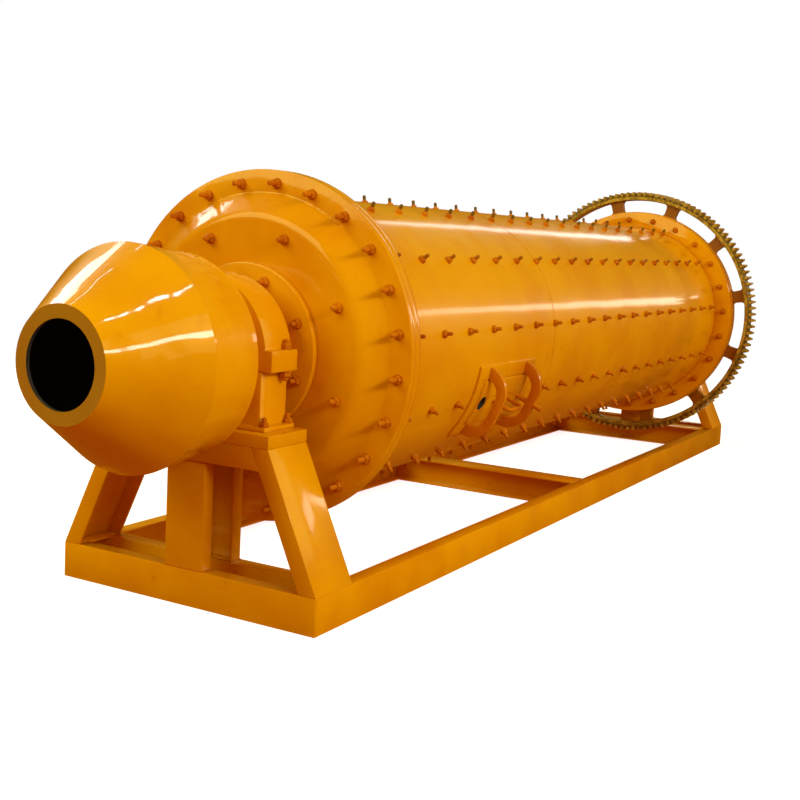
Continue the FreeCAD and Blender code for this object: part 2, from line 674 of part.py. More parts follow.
def gearHalf(name, split):
    body = turned(name, [(shellEnd, gearBore), (shellEnd, rimInner), (gearAt, rimInner),
                         (gearAt, rootRadius), (f"{gearAt} + gear_face", rootRadius),
                         (f"{gearAt} + gear_face", rimInner), (webEnd, rimInner), (webEnd, gearBore)],
                  degrees=180)
    cutWindows(body)
    lug = sketchAcross(body, name + "_lug", gearMiddle)
    low = f"{rimInner} - joint_lug_depth"
    high = f"{rimInner} + gear_rim / 2"
    outline(lug, [("0", low), ("0", high), ("joint_lug_width", high), ("joint_lug_width", low)])
    lugPad = padMiddle(body, lug, "gear_face")
    mirror = body.newObject("PartDesign::Mirrored", name + "_lug_mirror")
    mirror.Originals = [lugPad]
    mirror.MirrorPlane = (planeOf(body, "XY_Plane"), [""])
    body.Tip = mirror
    doc.recompute()
    tooth = sketchAcross(body, name + "_tooth", gearMiddle)
    swing = f"(180 deg / {gearTeeth})"
    corners = []
    sunk = f"({rootRadius} - tooth_sink)"
    for radius, half in ((sunk, "-gear_module * tooth_root_share"),
                         (tipRadius, "-gear_module * tooth_tip_share"),
                         (tipRadius, "gear_module * tooth_tip_share"),
                         (sunk, "gear_module * tooth_root_share")):
        corners.append((f"{radius} * sin({swing}) + {half} * cos({swing})",
                        f"{radius} * cos({swing}) - {half} * sin({swing})"))
    outline(tooth, corners)
    toothPad = padMiddle(body, tooth, "gear_face")
    repeatRound(body, toothPad, f"{gearTeeth} / 2", f"180 - 360 / {gearTeeth}")
    turnTo(body, split)


gearHalf("girth_gear_half_lower", "gear_split - 180")
gearHalf("girth_gear_half_upper", "gear_split")

doc.recompute()

# ---- Checks, then one file for each sub-part ----

faults = [item.Label for item in doc.Objects if {"Invalid", "Error"} & set(item.State)]
faults += [name for name, item in subParts.items()
           if item.Shape.isNull() or not item.Shape.isValid() or len(item.Shape.Solids) != 1]
if faults:
    raise RuntimeError("Not built: " + ", ".join(faults))

os.makedirs("parts", exist_ok=True)
for name, item in subParts.items():
    item.Shape.exportStep(f"parts/{name}.step")
    limits = item.Shape.BoundBox
    print(f"{name}: {item.Shape.Volume / 1e6:.2f} litres, x {limits.XMin:.0f} to {limits.XMax:.0f}, "
          f"y {limits.YMin:.0f} to {limits.YMax:.0f}, z {limits.ZMin:.0f} to {limits.ZMax:.0f}")
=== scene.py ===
# Ball mill: finishes, fixings, welds, light and camera around the fixed frame.
import math

import bmesh
import bpy
from mathutils import Matrix, Vector


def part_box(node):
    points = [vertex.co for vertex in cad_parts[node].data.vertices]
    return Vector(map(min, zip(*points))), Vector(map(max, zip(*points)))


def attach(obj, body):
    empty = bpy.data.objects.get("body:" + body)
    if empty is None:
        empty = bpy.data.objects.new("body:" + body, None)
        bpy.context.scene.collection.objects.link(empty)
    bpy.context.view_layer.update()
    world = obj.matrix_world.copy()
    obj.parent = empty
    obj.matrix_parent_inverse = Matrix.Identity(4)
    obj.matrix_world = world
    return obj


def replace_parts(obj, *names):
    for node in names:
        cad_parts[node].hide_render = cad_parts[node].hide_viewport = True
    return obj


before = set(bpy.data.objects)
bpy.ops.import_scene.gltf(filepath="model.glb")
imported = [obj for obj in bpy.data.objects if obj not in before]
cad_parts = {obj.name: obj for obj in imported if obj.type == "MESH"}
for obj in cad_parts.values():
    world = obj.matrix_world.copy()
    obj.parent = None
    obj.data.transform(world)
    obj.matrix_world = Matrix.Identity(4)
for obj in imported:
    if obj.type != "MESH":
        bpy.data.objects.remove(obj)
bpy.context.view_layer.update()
print("frame loaded:", len(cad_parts), "nodes")

shellLow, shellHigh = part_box("shell")
axisHeight = (shellLow.z + shellHigh.z) / 2
shellRadius = (shellHigh.z - shellLow.z) / 2


# Small helpers

def linear(hexColour):  # sRGB hex to the linear values that shaders and lights take
    channels = [int(hexColour[i:i + 2], 16) / 255 for i in (1, 3, 5)]
    return [c / 12.92 if c <= 0.04045 else ((c + 0.055) / 1.055) ** 2.4 for c in channels] + [1.0]


def setInputs(tree, node, inputs):  # a node or a socket is linked, a plain value is set
    for key, value in inputs.items():
        if isinstance(value, bpy.types.Node):
            value = value.outputs[0]
        if isinstance(value, bpy.types.NodeSocket):
            tree.links.new(value, node.inputs[key])
        else:
            node.inputs[key].default_value = value


def addNode(tree, kind, settings=None, inputs=None):
    node = tree.nodes.new(kind)
    for key, value in (settings or {}).items():
        setattr(node, key, value)
    setInputs(tree, node, inputs or {})
    return node


def calc(tree, operation, a, b=0.0):  # one Math node, values or sockets
    return addNode(tree, "ShaderNodeMath", {"operation": operation}, {0: a, 1: b})


def onDrum(x, radius, degrees):  # a point about the drum's axis: 0 is the near side's horizontal, 90 the top
    angle = math.radians(degrees)
    return Vector((x, -radius * math.cos(angle), axisHeight + radius * math.sin(angle)))


# Materials

def newMaterial(name):
    material = bpy.data.materials.new(name)
    material.use_nodes = True
    tree = material.node_tree
    tree.nodes.clear()
    shader = addNode(tree, "ShaderNodeBsdfPrincipled")
    addNode(tree, "ShaderNodeOutputMaterial", None, {"Surface": shader})
    place = addNode(tree, "ShaderNodeTexCoord")
    return material, tree, shader, place


def noise(tree, place, millimetres, detail, roughness=0.5):  # blotches of about that size
    return addNode(tree, "ShaderNodeTexNoise", None, {
        "Vector": place, "Scale": 1000.0 / millimetres, "Detail": detail, "Roughness": roughness})


def ramp(tree, value, low, high, toMin=0.0, toMax=1.0):
    return addNode(tree, "ShaderNodeMapRange", {"interpolation_type": "SMOOTHSTEP"}, {
        "Value": value, "From Min": low, "From Max": high, "To Min": toMin, "To Max": toMax})


def blotches(tree, place, look, toMin=0.0, toMax=1.0):  # noise that fades in between two of its levels
    spots = noise(tree, place, look["size"], look["detail"], look.get("roughness", 0.5))
    return ramp(tree, spots, look["from"], look["to"], toMin, toMax)


def blendColour(tree, factor, first, second):
    first, second = (linear(c) if isinstance(c, str) else c for c in (first, second))
    return addNode(tree, "ShaderNodeMix", {"data_type": "RGBA"}, {0: factor, 6: first, 7: second}).outputs[2]


def fromAxis(tree, place):  # distance from the drum's axis, and the outward direction there
    moved = addNode(tree, "ShaderNodeVectorMath", {"operation": "SUBTRACT"}, {
        0: place, 1: (0.0, 0.0, axisHeight)})
    flat = addNode(tree, "ShaderNodeVectorMath", {"operation": "MULTIPLY"}, {0: moved, 1: (0.0, 1.0, 1.0)})
    distance = addNode(tree, "ShaderNodeVectorMath", {"operation": "LENGTH"}, {0: flat})
    outward = addNode(tree, "ShaderNodeVectorMath", {"operation": "NORMALIZE"}, {0: flat})
    return distance.outputs["Value"], outward.outputs[0]


# The first three are cosines of the way a face looks: outward, then along the mill. The others are metres.
maskLook = {"innerWall": -0.3, "feederBack": -0.85, "mouthFront": -0.9, "behindMouth": 0.02,
            "portWall": 0.034}


def insideFaces(tree, place):  # 1 on the drum's inner walls and on the feeder's back, 0 outside
    outward = fromAxis(tree, place.outputs["Object"])[1]
    facing = addNode(tree, "ShaderNodeVectorMath", {"operation": "DOT_PRODUCT"}, {
        0: outward, 1: place.outputs["Normal"]})
    inner = calc(tree, "LESS_THAN", facing.outputs["Value"], maskLook["innerWall"])
    x = addNode(tree, "ShaderNodeSeparateXYZ", None, {0: place.outputs["Object"]})
    normalX = addNode(tree, "ShaderNodeSeparateXYZ", None, {0: place.outputs["Normal"]})
    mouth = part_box("feeder_mouth_ring")[1].x
    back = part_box("feeder_back_plate")[1].x
    behindMouth = calc(tree, "GREATER_THAN", x, mouth + maskLook["behindMouth"])
    beforeBack = calc(tree, "LESS_THAN", x, back)
    forward = calc(tree, "LESS_THAN", normalX, maskLook["feederBack"])
    throat = calc(tree, "MULTIPLY", calc(tree, "MULTIPLY", behindMouth, beforeBack), forward)
    return calc(tree, "MAXIMUM", inner, throat)


def mouthFace(tree, place):  # 1 on the front of the feeder's mouth ring
    normalX = addNode(tree, "ShaderNodeSeparateXYZ", None, {0: place.outputs["Normal"]})
    return calc(tree, "LESS_THAN", normalX, maskLook["mouthFront"])


manholeRow = -23.6  # degrees up from the near side


# The port's walls take the bore's dark primer, as painted shade inside the hole.
def portFaces(tree, place):  # 1 on the walls of the open port in the manhole's cover
    low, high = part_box("manhole_yoke_feed")
    tilt = math.radians(manholeRow)
    outward = (0.0, -math.cos(tilt), math.sin(tilt))
    moved = addNode(tree, "ShaderNodeVectorMath", {"operation": "SUBTRACT"}, {
        0: place.outputs["Object"], 1: ((low.x + high.x) / 2, 0.0, axisHeight)})
    along = addNode(tree, "ShaderNodeVectorMath", {"operation": "DOT_PRODUCT"}, {0: moved, 1: outward})
    foot = addNode(tree, "ShaderNodeVectorMath", {"operation": "SCALE"}, {
        0: outward, "Scale": along.outputs["Value"]})
    across = addNode(tree, "ShaderNodeVectorMath", {"operation": "DISTANCE"}, {0: moved, 1: foot})
    return calc(tree, "LESS_THAN", across.outputs["Value"], maskLook["portWall"])


# Gloss alkyd machine enamel, sprayed. Wet-looking orange with soft sags, a little orange peel,
# redder where the coat is thin, and a film of shop dust that takes the shine off in places.
# Wave and peel are in millimetres and their depths in metres. Dust is the most that it covers,
# and skin is the clear coat's roughness.
enamelLooks = {
    "rolledPlateEnamel": {"light": "#F0AA00", "deep": "#E79900", "thin": "#D47C02", "wave": 200,
                          "waveDepth": 0.0090, "peel": 14, "peelDepth": 0.00005,
                          "roughness": (0.24, 0.38), "dust": 0.04, "skin": 0.05},
    "shellPlateEnamel": {"light": "#F0AA00", "deep": "#E79900", "thin": "#D07600", "wave": 420,
                         "waveDepth": 0.0026, "peel": 18, "peelDepth": 0.00008,
                         "roughness": (0.30, 0.46), "dust": 0.05, "skin": 0.11},
    "castEnamel": {"light": "#EFA800", "deep": "#E59400", "thin": "#CC6E02", "wave": 150,
                   "waveDepth": 0.0018, "peel": 9, "peelDepth": 0.00016,
                   "roughness": (0.26, 0.42), "dust": 0.05, "skin": 0.06},
    "sectionEnamel": {"light": "#F0A900", "deep": "#E49500", "thin": "#C46804", "wave": 340,
                      "waveDepth": 0.0008, "peel": 12, "peelDepth": 0.00008,
                      "roughness": (0.28, 0.48), "dust": 0.08, "skin": 0.10},
    # Yoke enamel is darker and redder than the rest: painted shade on the yokes' arches.
    "yokeEnamel": {"light": "#E28C08", "deep": "#CE7206", "thin": "#A85206", "wave": 70,
                   "waveDepth": 0.0008, "peel": 8, "peelDepth": 0.00014,
                   "roughness": (0.34, 0.50), "dust": 0.08, "skin": 0.10},
    # Bolt enamel is darker and redder than the rest: painted shade for the nuts and studs, which the weld
    # beads and the handle share.
    "boltEnamel": {"light": "#D47E04", "deep": "#BC6002", "thin": "#8C440A", "wave": 60,
                   "waveDepth": 0.0002, "peel": 6, "peelDepth": 0.00012,
                   "roughness": (0.42, 0.62), "dust": 0.08, "skin": 0.12},
}


# What all the enamels share; blotch sizes are in millimetres.
filmLook = {
    "patches": {"size": 420, "detail": 3.0, "from": 0.35, "to": 0.68},
    "thin": {"size": 95, "detail": 5.0, "roughness": 0.62, "from": 0.60, "to": 0.80},
    "dust": {"size": 210, "detail": 6.0, "roughness": 0.65, "from": 0.52, "to": 0.78},
    "sheen": {"size": 160, "detail": 4.0, "from": 0.3, "to": 0.75},
    "thinMost": 0.45, "dustColour": "#D9A860", "waveDetail": 1.0, "peelDetail": 2.0,
}


def enamelColour(tree, place, look):  # colour, roughness and bump of the paint film
    colour = blendColour(tree, blotches(tree, place, filmLook["patches"]), look["light"], look["deep"])
    thin = blotches(tree, place, filmLook["thin"], 0.0, filmLook["thinMost"])
    colour = blendColour(tree, thin, colour, look["thin"])
    dust = blotches(tree, place, filmLook["dust"], 0.0, look["dust"])
    colour = blendColour(tree, dust, colour, filmLook["dustColour"])
    sheen = blotches(tree, place, filmLook["sheen"], *look["roughness"])
    wave = addNode(tree, "ShaderNodeBump", None, {
        "Height": noise(tree, place, look["wave"], filmLook["waveDetail"]),
        "Distance": look["waveDepth"], "Strength": 1.0})
    peel = addNode(tree, "ShaderNodeBump", None, {
        "Height": noise(tree, place, look["peel"], filmLook["peelDetail"]),
        "Distance": look["peelDepth"], "Strength": 1.0, "Normal": wave})
    return colour, sheen, peel


def glossCoat(tree, shader, weight, softness):  # the clear wet skin of a gloss enamel
    setInputs(tree, shader, {
        "IOR": 1.45, "Specular IOR Level": 0.3, "Specular Tint": linear("#FFC060"),
        "Coat Weight": weight, "Coat Roughness": softness, "Coat IOR": 1.42})


# The dark primer that a bore is left in, near-black as painted shade inside, and a browner, duller paint for
# the front of the feeder's mouth ring.
primerShadeLook = {"dark": "#3A3A3E", "pale": "#4A4A4F", "roughness": 0.85,
              "soot": {"size": 60, "detail": 4.0, "from": 0.3, "to": 0.8}}
mouthDarkLook = {"colour": "#896430", "most": 0.68}


def enamelMaterial(name, look, bareAndShade=None, mouthMask=None, coat=0.85):  # each mask makes its own change: the bore's dark primer with painted shade, the mouth's browner paint
    material, tree, shader, place = newMaterial(name)
    colour, roughness, normal = enamelColour(tree, place.outputs["Object"], look)
    glossCoat(tree, shader, coat, look["skin"])
    if mouthMask:  # the front of the feeder's mouth ring is painted browner and duller
        mouthDark = ramp(tree, mouthMask(tree, place), 0.0, 1.0, 0.0, mouthDarkLook["most"])
        colour = blendColour(tree, mouthDark, colour, mouthDarkLook["colour"])
        roughness = calc(tree, "MAXIMUM", roughness, mouthDark)
    if bareAndShade:  # a bore has no enamel: it is dark primer, dull and dusty, and near-black as painted shade inside
        bore = bareAndShade(tree, place)
        soot = blotches(tree, place.outputs["Object"], primerShadeLook["soot"])
        primerShade = blendColour(tree, soot, primerShadeLook["dark"], primerShadeLook["pale"])
        colour = blendColour(tree, bore, colour, primerShade)
        dull = calc(tree, "MULTIPLY", bore, primerShadeLook["roughness"])
        roughness = calc(tree, "MAXIMUM", roughness, dull)
        setInputs(tree, shader, {"Coat Weight": ramp(tree, bore, 0.0, 1.0, coat, 0.0)})
    setInputs(tree, shader, {
        "Base Color": colour, "Roughness": roughness, "Normal": normal, "Coat Normal": normal})
    return material


# Cut gear steel with open-gear grease: olive and gold on the rim, darker in the roots, where packed grease
# and painted shade are both in the colour.
# The web keeps its enamel, and the spokes are painted a darker brown.
# Distances from the axis are in metres.
gearLook = {
    "spokesFrom": 0.736, "spokesTo": 0.744, "rimFrom": 0.818, "rimTo": 0.824, "rootFrom": 0.848,
    "rootTo": 0.864, "film": "#7E3E08", "grease": "#8C6E22", "steel": "#C8A848", "gold": "#E2B03E",
    "root": "#3E3414", "spokeBrownMost": 0.85, "goldMost": 0.7, "rootMost": 0.75, "metallic": 0.35,
    "roughness": (0.34, 0.55),
    "smear": {"size": 45, "detail": 5.0, "roughness": 0.6, "from": 0.38, "to": 0.66},
    "streak": {"size": 16, "detail": 3.0, "from": 0.50, "to": 0.72},
}


def gearMaterial():
    material, tree, shader, place = newMaterial("greasedGearSteel")
    colour, roughness, normal = enamelColour(tree, place.outputs["Object"], enamelLooks["castEnamel"])
    distance = fromAxis(tree, place.outputs["Object"])[0]
    spokes = ramp(tree, distance, gearLook["spokesFrom"], gearLook["spokesTo"], 0.0, gearLook["spokeBrownMost"])
    rim = ramp(tree, distance, gearLook["rimFrom"], gearLook["rimTo"])
    smear = blotches(tree, place.outputs["Object"], gearLook["smear"])
    oiled = blendColour(tree, smear, gearLook["grease"], gearLook["steel"])
    streak = blotches(tree, place.outputs["Object"], gearLook["streak"], 0.0, gearLook["goldMost"])
    oiled = blendColour(tree, streak, oiled, gearLook["gold"])
    teeth = ramp(tree, distance, gearLook["rootFrom"], gearLook["rootTo"], gearLook["rootMost"], 0.0)
    onTeeth = calc(tree, "MULTIPLY", teeth, calc(tree, "GREATER_THAN", distance, gearLook["rootFrom"]))
    oiled = blendColour(tree, onTeeth, oiled, gearLook["root"])
    colour = blendColour(tree, spokes, colour, gearLook["film"])
    wet = ramp(tree, smear, 0.0, 1.0, *gearLook["roughness"])
    setInputs(tree, shader, {
        "Base Color": blendColour(tree, rim, colour, oiled),
        "Metallic": calc(tree, "MULTIPLY", rim, gearLook["metallic"]),
        "Roughness": addNode(tree, "ShaderNodeMix", None, {0: rim, 2: roughness, 3: wet}),
        "Normal": normal})
    return material


# Studs and nuts on the shell are painted over, but their ends stand bare, oiled olive.
# A stud is bare from 17 mm off the shell, and the more so the more it points up, which is painted shade of
# the backlit upper rows.
studLook = {"bareFrom": 0.017, "bareTo": 0.025, "bareAndShade": "#5C5424", "upFrom": 0.3, "upTo": 1.0,
            "bareLeast": 0.1, "bareMost": 0.9}
boltCoat = 0.25


def shellBoltMaterial():
    material, tree, shader, place = newMaterial("paintedStudSteel")
    colour, roughness, normal = enamelColour(tree, place.outputs["Object"], enamelLooks["boltEnamel"])
    distance, outward = fromAxis(tree, place.outputs["Object"])
    tips = ramp(tree, distance, shellRadius + studLook["bareFrom"], shellRadius + studLook["bareTo"])
    height = addNode(tree, "ShaderNodeSeparateXYZ", None, {0: outward})
    # Darker the more the stud points up: partly bare steel, partly painted shade.
    upwardBareAndShade = ramp(tree, height.outputs[2], studLook["upFrom"], studLook["upTo"], studLook["bareLeast"],
                 studLook["bareMost"])
    bareAndShade = calc(tree, "MULTIPLY", tips, upwardBareAndShade)
    glossCoat(tree, shader, boltCoat, enamelLooks["boltEnamel"]["skin"])
    setInputs(tree, shader, {
        "Base Color": blendColour(tree, bareAndShade, colour, studLook["bareAndShade"]),
        "Roughness": roughness,
        "Normal": normal})
    return material


# Turned leaded bronze: warm, with shallow turned rings 25 mm apart and a brown oil film.
bronzeLook = {"bright": "#B98A4A", "oiled": "#6E4A22", "roughness": (0.28, 0.5), "ringScale": 12.5,
              "ringDepth": 0.0002, "film": {"size": 40, "detail": 4.0, "from": 0.35, "to": 0.7}}


def bronzeMaterial():
    material, tree, shader, place = newMaterial("turnedBronze")
    film = blotches(tree, place.outputs["Object"], bronzeLook["film"])
    rings = addNode(tree, "ShaderNodeTexWave", {"bands_direction": "X"}, {
        "Vector": place.outputs["Object"], "Scale": bronzeLook["ringScale"], "Distortion": 0.4})
    setInputs(tree, shader, {
        "Base Color": blendColour(tree, film, bronzeLook["bright"], bronzeLook["oiled"]),
        "Metallic": 1.0,
        "Roughness": ramp(tree, film, 0.0, 1.0, *bronzeLook["roughness"]),
        "Normal": addNode(tree, "ShaderNodeBump", None, {
            "Height": rings.outputs["Fac"], "Distance": bronzeLook["ringDepth"]})})
    return material


# Manganese wear plate as it left the sand: nearly black, scaly, no shine.
linerLook = {"dark": "#1B1A19", "scaly": "#3A2F28", "metallic": 0.4, "roughness": (0.6, 0.85),
             "grain": 8, "grainDetail": 4.0, "grainDepth": 0.0008,
             "scale": {"size": 35, "detail": 6.0, "roughness": 0.65, "from": 0.35, "to": 0.7}}


def linerMaterial():
    material, tree, shader, place = newMaterial("castManganese")
    scale = blotches(tree, place.outputs["Object"], linerLook["scale"])
    grain = noise(tree, place.outputs["Object"], linerLook["grain"], linerLook["grainDetail"])
    setInputs(tree, shader, {
        "Base Color": blendColour(tree, scale, linerLook["dark"], linerLook["scaly"]),
        "Metallic": linerLook["metallic"],
        "Roughness": ramp(tree, scale, 0.0, 1.0, *linerLook["roughness"]),
        "Normal": addNode(tree, "ShaderNodeBump", None, {
            "Height": grain, "Distance": linerLook["grainDepth"]})})
    return material


feederEnamel = enamelMaterial("rolledPlateEnamel", enamelLooks["rolledPlateEnamel"], insideFaces)
shellEnamel = enamelMaterial("shellPlateEnamel", enamelLooks["shellPlateEnamel"], insideFaces)
mouthEnamel = enamelMaterial("darkMouthEnamel", enamelLooks["rolledPlateEnamel"], insideFaces, mouthFace)
# The cover's port walls are dark primer: painted shade in the hole.
coverEnamel = enamelMaterial("coverEnamel", enamelLooks["castEnamel"], portFaces)
yokeEnamel = enamelMaterial("yokeEnamel", enamelLooks["yokeEnamel"])
castEnamel = enamelMaterial("castEnamel", enamelLooks["castEnamel"])
sectionEnamel = enamelMaterial("sectionEnamel", enamelLooks["sectionEnamel"])
boltEnamel = enamelMaterial("boltEnamel", enamelLooks["boltEnamel"], coat=boltCoat)
gearSteel = gearMaterial()
studSteel = shellBoltMaterial()
bronze = bronzeMaterial()
linerIron = linerMaterial()
print("materials made")


# The fixed frame's own pieces

def finishMesh(mesh, sharpAngle=32):
    mesh.shade_smooth()
    mesh.set_sharp_from_angle(angle=math.radians(sharpAngle))


def addPiece(name, mesh, body):
    piece = bpy.data.objects.new(name, mesh)
    bpy.context.scene.collection.objects.link(piece)
    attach(piece, body)
    return piece


def bakedMesh(obj, name):  # the evaluated object as a plain mesh; the working object goes
    mesh = bpy.data.meshes.new_from_object(obj.evaluated_get(bpy.context.evaluated_depsgraph_get()))
    mesh.name = name
    bpy.data.objects.remove(obj)
    return mesh


# Doubled points are merged and flat faces joined first, then edges sharper than this angle are broken.
easing = {"merge": 0.00002, "flatAngle": 0.5, "sharpAngle": 40, "segments": 2}


def easeEdges(node, body, material, width):  # the same piece with its edges broken
    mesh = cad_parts[node].data.copy()
    custom = mesh.attributes.get("custom_normal")
    if custom:
        mesh.attributes.remove(custom)
    work = bmesh.new()
    work.from_mesh(mesh)
    bmesh.ops.remove_doubles(work, verts=work.verts, dist=easing["merge"])
    bmesh.ops.dissolve_limit(work, angle_limit=math.radians(easing["flatAngle"]), verts=work.verts,
                             edges=work.edges)
    work.to_mesh(mesh)
    work.free()
    mesh.materials.clear()
    mesh.materials.append(material)
    obj = bpy.data.objects.new("working", mesh)
    bpy.context.scene.collection.objects.link(obj)
    bevel = obj.modifiers.new("edges", "BEVEL")
    bevel.width = width
    bevel.segments = easing["segments"]
    bevel.limit_method = "ANGLE"
    bevel.angle_limit = math.radians(easing["sharpAngle"])
    bpy.context.view_layer.update()
    mesh = bakedMesh(obj, node + "_eased")
    finishMesh(mesh)
    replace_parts(addPiece(node + "_eased", mesh, body), node)


def setMaterial(node, material):
    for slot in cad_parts[node].material_slots:
        slot.material = material


ends = ("feed", "discharge")
# Widths of the broken edges, in metres.
edgeWidths = {"section": 0.003, "sole": 0.002, "casting": 0.005, "head": 0.006, "hub": 0.005,
              "flange": 0.003, "manhole": 0.003}
beams = ["side_beam_near", "side_beam_far", "front_end_beam", "rear_end_beam", "front_inner_beam",
         "middle_cross_beam", "rear_inner_beam"]
easedSections = {name: "section" for name in beams}
for end in ends:
    for part in ("leg_near", "leg_far", "top_beam", "outer_post", "inner_post"):
        easedSections[f"{end}_{part}"] = "section"
    easedSections[f"{end}_sole_plate"] = "sole"
easedCastings = {f"{end}_{part}": "casting" for end in ends for part in ("bearing_base", "bearing_cap")}
easedDrum = {"feed_head": "head", "discharge_head": "head", "feed_hub": "hub", "discharge_hub": "hub",
             "feed_shell_flange": "flange", "discharge_shell_flange": "flange", "manhole_frame": "manhole",
             "manhole_cover": "manhole", "manhole_yoke_feed": "manhole", "manhole_yoke_discharge": "manhole"}
for name, edge in easedSections.items():
    easeEdges(name, "frame", sectionEnamel, edgeWidths[edge])
for name, edge in easedCastings.items():
    easeEdges(name, "frame", castEnamel, edgeWidths[edge])
drumEnamels = {"manhole_cover": coverEnamel, "manhole_yoke_feed": yokeEnamel,
               "manhole_yoke_discharge": yokeEnamel}
for name, edge in easedDrum.items():
    easeEdges(name, "drum", drumEnamels.get(name, castEnamel), edgeWidths[edge])
setMaterial("feeder_mouth_ring", mouthEnamel)
for name in ("feeder_cone", "feeder_drum", "feeder_back_plate", "feed_trunnion", "discharge_trunnion"):
    setMaterial(name, feederEnamel)
setMaterial("shell", shellEnamel)
for name in ("girth_gear_half_lower", "girth_gear_half_upper"):
    setMaterial(name, gearSteel)
for end in ends:
    setMaterial(f"{end}_bearing_bush", bronze)
setMaterial("shell_liner", linerIron)
print("frame pieces finished")


# Bolts by Geometry Nodes

def newTree(name, sockets):  # sockets: name -> (kind, default)
    tree = bpy.data.node_groups.new(name, "GeometryNodeTree")
    for label, (kind, default) in sockets.items():
        socket = tree.interface.new_socket(name=label, in_out="INPUT", socket_type="NodeSocket" + kind)
        if default is not None:
            socket.default_value = default
    tree.interface.new_socket(name="Geometry", in_out="OUTPUT", socket_type="NodeSocketGeometry")
    return tree, addNode(tree, "NodeGroupInput").outputs


# Shares of the nut's height, of its corner radius and of the stud's radius.
boltForm = {"chamferRise": 0.22, "chamferTop": 0.84, "tipRise": 0.5, "tipTop": 0.55}


def hexBoltTree():  # washer, chamfered hex nut and stud end, standing on z = 0
    tree, given = newTree("HexBolt", {
        "Across Flats": ("Float", 0.036), "Nut Height": ("Float", 0.018), "Washer Radius": ("Float", 0.022),
        "Washer Thickness": ("Float", 0.004), "Stud Radius": ("Float", 0.01), "Stud Reach": ("Float", 0.016)})
    corner = calc(tree, "DIVIDE", given["Across Flats"], math.sqrt(3))
    chamfer = calc(tree, "MULTIPLY", given["Nut Height"], boltForm["chamferRise"])
    straight = calc(tree, "SUBTRACT", given["Nut Height"], chamfer)
    stages = (("Washer", 12, given["Washer Radius"], given["Washer Radius"], given["Washer Thickness"], 0.0),
              ("Nut", 6, corner, corner, straight, given["Washer Thickness"]),
              ("Chamfer", 6, corner, calc(tree, "MULTIPLY", corner, boltForm["chamferTop"]), chamfer,
               calc(tree, "ADD", given["Washer Thickness"], straight)))
    top = calc(tree, "ADD", given["Washer Thickness"], given["Nut Height"])
    tip = calc(tree, "MULTIPLY", given["Stud Radius"], boltForm["tipRise"])
    tipRadius = calc(tree, "MULTIPLY", given["Stud Radius"], boltForm["tipTop"])
    shank = calc(tree, "SUBTRACT", given["Stud Reach"], tip)
    stages += (("Stud", 8, given["Stud Radius"], given["Stud Radius"], shank, top),
               ("Tip", 8, given["Stud Radius"], tipRadius, tip, calc(tree, "ADD", top, shank)))
    joined = addNode(tree, "GeometryNodeJoinGeometry")
    for label, sides, low, high, depth, lift in stages:
        cone = addNode(tree, "GeometryNodeMeshCone", {"label": label}, {
            "Vertices": sides, "Radius Bottom": low, "Radius Top": high, "Depth": depth})
        raised = addNode(tree, "ShaderNodeCombineXYZ", None, {2: lift})
        stood = addNode(tree, "GeometryNodeTransform", None, {"Geometry": cone, "Translation": raised})
        setInputs(tree, joined, {0: stood})
    addNode(tree, "NodeGroupOutput", None, {0: joined})
    return tree


hexBolt = hexBoltTree()
boltSockets = {item.name: ("Float", item.default_value) for item in hexBolt.interface.items_tree
               if item.in_out == "INPUT"}


def standBolts(tree, given, points, facing):  # a bolt on each point along facing, turned at random
    bolt = addNode(tree, "GeometryNodeGroup", {"node_tree": hexBolt}, {
        label: given[label] for label in boltSockets})
    turn = addNode(tree, "FunctionNodeRandomValue", None, {
        2: 0.0, 3: math.radians(60), "Seed": given["Seed"]})
    upright = addNode(tree, "FunctionNodeAlignRotationToVector", {"axis": "Z"}, {"Vector": facing})
    spin = addNode(tree, "FunctionNodeAxisAngleToRotation", None, {
        "Axis": (0, 0, 1), "Angle": turn.outputs[1]})
    turned = addNode(tree, "FunctionNodeRotateRotation", {"rotation_space": "LOCAL"}, {
        "Rotation": upright, "Rotate By": spin})
    stood = addNode(tree, "GeometryNodeInstanceOnPoints", None, {
        "Points": points, "Instance": bolt, "Rotation": turned})
    real = addNode(tree, "GeometryNodeRealizeInstances", None, {0: stood})
    painted = addNode(tree, "GeometryNodeSetMaterial", None, {0: real, "Material": given["Material"]})
    addNode(tree, "NodeGroupOutput", None, {0: painted})


